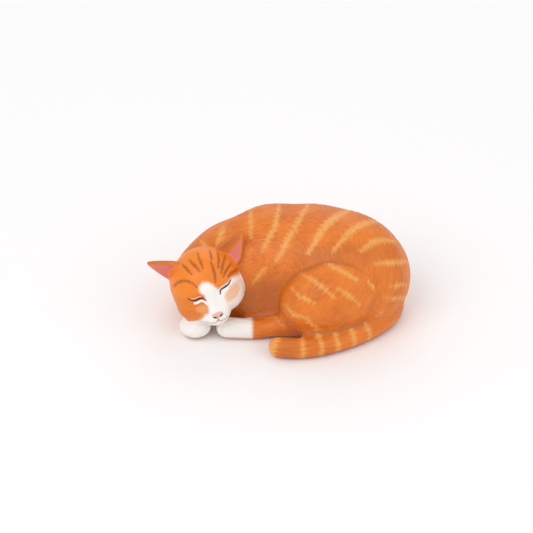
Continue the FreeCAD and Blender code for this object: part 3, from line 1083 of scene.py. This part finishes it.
def shaded(wire, colour, roughness):
    """The shader and its output, with a colour and a roughness."""
    skin = wire.node("ShaderNodeBsdfPrincipled")
    wire.feed(skin.inputs["Base Color"], colour)
    wire.feed(skin.inputs["Roughness"], roughness)
    leave = wire.node("ShaderNodeOutputMaterial")
    wire.feed(leave.inputs["Surface"], skin.outputs["BSDF"])
    return skin


def add_relief(wire, skin, height, strength, depth):
    relief = wire.node("ShaderNodeBump")
    relief.inputs["Strength"].default_value = strength
    relief.inputs["Distance"].default_value = depth
    wire.feed(relief.inputs["Height"], height)
    wire.feed(skin.inputs["Normal"], relief.outputs["Normal"])


def painted_glaze(name, bristles, crown=False):
    """Underglaze painted in strokes along the fur, under a satin glaze."""
    colours = bpy.context.scene.glaze_colours
    material, wire = new_material(name)
    marks = wire.node("ShaderNodeGroup", node_tree=bristles)
    wire.feed(marks.inputs["Comb"], wire.attribute("comb"))
    stroke, hair, blotch = (marks.outputs[label] for label in BRISTLES)
    ragged = wire.math("MULTIPLY", wire.math("SUBTRACT", stroke, 0.5), 3.6)
    bristly = wire.math("MULTIPLY", wire.math("SUBTRACT", hair, 0.5), 2.2)

    def brushed(mask, share):
        return wire.math("ADD", wire.attribute(mask), wire.math("MULTIPLY", bristly, share))

    def washed(body, share, strength, colour):
        return wire.blend(wire.math("MULTIPLY", share, strength), body, rgba(colour))

    body = wire.blend(wire.step(blotch, 0.35, 0.65), rgba(colours.ginger_deep), rgba(colours.ginger))
    body = washed(body, wire.step(stroke, 0.35, 0.75), 0.45, colours.ginger_bright)
    if crown:
        body = washed(body, wire.attribute("crown"), 0.7, colours.ginger_bright)
    body = washed(body, wire.step(hair, 0.58, 0.72), 0.30, colours.ginger_deep)
    # Painted shade: umber in the hollows and creases and deep in the ears
    body = washed(body, wire.attribute("painted_shade"), 0.85, colours.umber)
    cream = wire.math("ADD", wire.math("ADD", wire.attribute("cream"), ragged), bristly)
    # Each mask, where its edge starts and is full, its strength and its colour; besides the markings, the
    # peach holds painted shade on the feet and the lid mask painted highlights
    for mask, low, high, strength, colour in (
            (cream, -0.9, 1.5, 0.74, colours.cream),
            (brushed("streak", 0.5), -0.6, 0.4, 0.75, colours.bark),
            (brushed("white", 0.8), -1.0, 1.0, 1.0, colours.white),
            # Peach: cheek patches, and painted shade along the bottom of the white paw and foot
            (brushed("peach", 1.0), -0.6, 1.2, 0.75, colours.peach),
            (wire.attribute("pink"), -0.35, 0.35, 1.0, colours.pink),
            # Painted highlights in white over and under the closed eyes
            (wire.attribute("painted_lid_highlight"), 0.20, -0.08, 1.0, colours.white),
            (wire.attribute("lip"), 0.28, -0.05, 0.55, colours.umber),
            (wire.attribute("ink"), 0.12, -0.10, 1.0, colours.ink)):
        body = washed(body, wire.step(mask, low, high), strength, colour)

    skin = shaded(wire, body, wire.math("ADD", wire.math("MULTIPLY", hair, 0.16), 0.34))
    skin.inputs["Specular IOR Level"].default_value = 0.32
    skin.inputs["Coat Weight"].default_value = 0.12
    skin.inputs["Coat Roughness"].default_value = 0.18
    add_relief(wire, skin, wire.math("ADD", wire.math("MULTIPLY", hair, 0.6), stroke), 0.5, 0.0002)
    return material


def felt_material():
    """Pressed wool felt with short fibres lying every way."""
    material, wire = new_material("pressed_felt")
    place = wire.node("ShaderNodeTexCoord").outputs["Object"]
    fibre = wire.noise(place, 2600.0, 4.0, 0.7)
    clump = wire.noise(place, 240.0, 2.0)
    colour = wire.blend(fibre, (0.060, 0.030, 0.018, 1), (0.150, 0.082, 0.050, 1))
    colour = wire.blend(wire.math("MULTIPLY", clump, 0.4), colour, (0.200, 0.118, 0.074, 1))
    skin = shaded(wire, colour, wire.math("ADD", wire.math("MULTIPLY", clump, 0.1), 0.86))
    skin.inputs["Sheen Weight"].default_value = 0.4
    add_relief(wire, skin, fibre, 0.7, 0.0003)
    return material


def finish(slot):
    """The painted finish of a slot, made the first time that it is asked for."""
    name = "painted_" + slot
    if name not in bpy.data.materials:
        bristles = bpy.data.node_groups.get("Bristle strokes") or bristle_group()
        painted_glaze(name, bristles, crown=slot == "face_glaze")
    return bpy.data.materials[name]


# ---- Operators


def make_castings(names):
    for name in names:
        casting_piece(name, finish(SLOTS[name]))


class FIGURINE_OT_body(bpy.types.Operator):
    """Carve and glaze the torso and the thigh"""
    bl_idname = "figurine.body"
    bl_label = "Body Castings"

    def execute(self, context):
        make_castings(("torso", "thigh"))
        return {"FINISHED"}


class FIGURINE_OT_limbs(bpy.types.Operator):
    """Carve and glaze the tail, the hind foot and the front paw"""
    bl_idname = "figurine.limbs"
    bl_label = "Limb Castings"

    def execute(self, context):
        make_castings(("tail", "hind_foot", "front_paw"))
        return {"FINISHED"}


class FIGURINE_OT_head(bpy.types.Operator):
    """Carve and glaze the head and the ears"""
    bl_idname = "figurine.head"
    bl_label = "Head Castings"

    def execute(self, context):
        make_castings(("head", "ear_left", "ear_right"))
        return {"FINISHED"}


class FIGURINE_OT_felt(bpy.types.Operator):
    """Give the pad under the torso its felt"""
    bl_idname = "figurine.felt"
    bl_label = "Base Felt"

    def execute(self, context):
        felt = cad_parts["base_felt"]
        felt.data.materials.clear()
        felt.data.materials.append(felt_material())
        return {"FINISHED"}


class FIGURINE_OT_stage(bpy.types.Operator):
    """Set out the pale floor, the soft lights and the camera"""
    bl_idname = "figurine.stage"
    bl_label = "Stage"

    def execute(self, context):
        set_floor()
        set_lights()
        set_camera(context.scene.stage_sizes)
        return {"FINISHED"}


def set_floor():
    mesh = bpy.data.meshes.new("floor")
    half = 3.0
    mesh.from_pydata([(-half, -half, 0), (half, -half, 0), (half, half, 0), (-half, half, 0)],
                     [], [(0, 1, 2, 3)])
    material, wire = new_material("pale_floor")
    shaded(wire, (0.955, 0.950, 0.955, 1), 0.9)
    mesh.materials.append(material)
    floor = linked_object("floor", mesh)


def add_light(name, place, size, power, colour=(1, 1, 1)):
    """A square soft light that points at the figurine."""
    data = bpy.data.lights.new(name, "AREA")
    data.energy = power
    data.size = size
    data.color = colour
    light = linked_object(name, data)
    light.location = place
    light.rotation_euler = (Vector((0, 0, 0.02)) - Vector(place)).to_track_quat("-Z", "Y").to_euler()


def set_lights():
    world = bpy.data.worlds.new("soft_room")
    world.use_nodes = True
    background = world.node_tree.nodes["Background"].inputs
    background["Color"].default_value = (1.0, 0.995, 0.995, 1)
    background["Strength"].default_value = 0.71
    bpy.context.scene.world = world
    add_light("key_light", (-0.55, -0.60, 0.95), 0.9, 4.6, (1.0, 0.990, 0.975))
    add_light("fill_light", (0.80, -0.45, 0.70), 1.0, 2.0)
    add_light("back_light", (0.10, 0.90, 0.80), 0.9, 2.0)


def set_camera(sizes):
    data = bpy.data.cameras.new("camera")
    data.sensor_width = 36.0
    data.lens = data.sensor_width * sizes.distance / sizes.view_width
    data.clip_end = 20.0
    camera = linked_object("camera", data)
    aim = Vector(middle("torso") * (1, 0, 0) + np.array([-11.3, -1.7, 23.2])) * MM
    back = Vector((0, -math.cos(sizes.elevation), math.sin(sizes.elevation)))
    camera.location = aim + back * sizes.distance
    camera.rotation_euler = (-back).to_track_quat("-Z", "Y").to_euler()
    bpy.context.scene.camera = camera
    bpy.context.scene.view_settings.view_transform = "Standard"


class FIGURINE_PT_panel(bpy.types.Panel):
    """Steps that make the figurine, in order"""
    bl_idname = "FIGURINE_PT_panel"
    bl_label = "Sleeping Cat Figurine"
    bl_space_type = "VIEW_3D"
    bl_region_type = "UI"
    bl_category = "Figurine"

    def draw(self, context):
        for step in STEPS:
            self.layout.operator(step.bl_idname)
        for group in GROUPS:
            settings = getattr(context.scene, group)
            for key in settings.bl_rna.properties.keys():
                if key not in ("rna_type", "name"):
                    self.layout.prop(settings, key)


STEPS = (FIGURINE_OT_body, FIGURINE_OT_limbs, FIGURINE_OT_head, FIGURINE_OT_felt, FIGURINE_OT_stage)
GROUPS = {"casting_sizes": CastingSizes, "glaze_colours": GlazeColours, "stage_sizes": StageSizes}
CLASSES = (*GROUPS.values(), *STEPS, FIGURINE_PT_panel)


def register():
    for item in CLASSES:
        bpy.utils.register_class(item)
    for key, group in GROUPS.items():
        setattr(bpy.types.Scene, key, bpy.props.PointerProperty(type=group))


def unregister():
    for key in GROUPS:
        delattr(bpy.types.Scene, key)
    for item in reversed(CLASSES):
        bpy.utils.unregister_class(item)


def main():
    register()
    bpy.ops.figurine.body()
    bpy.ops.figurine.limbs()
    bpy.ops.figurine.head()
    bpy.ops.figurine.felt()
    bpy.ops.figurine.stage()
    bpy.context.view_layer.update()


if __name__ == "__main__":
    main()
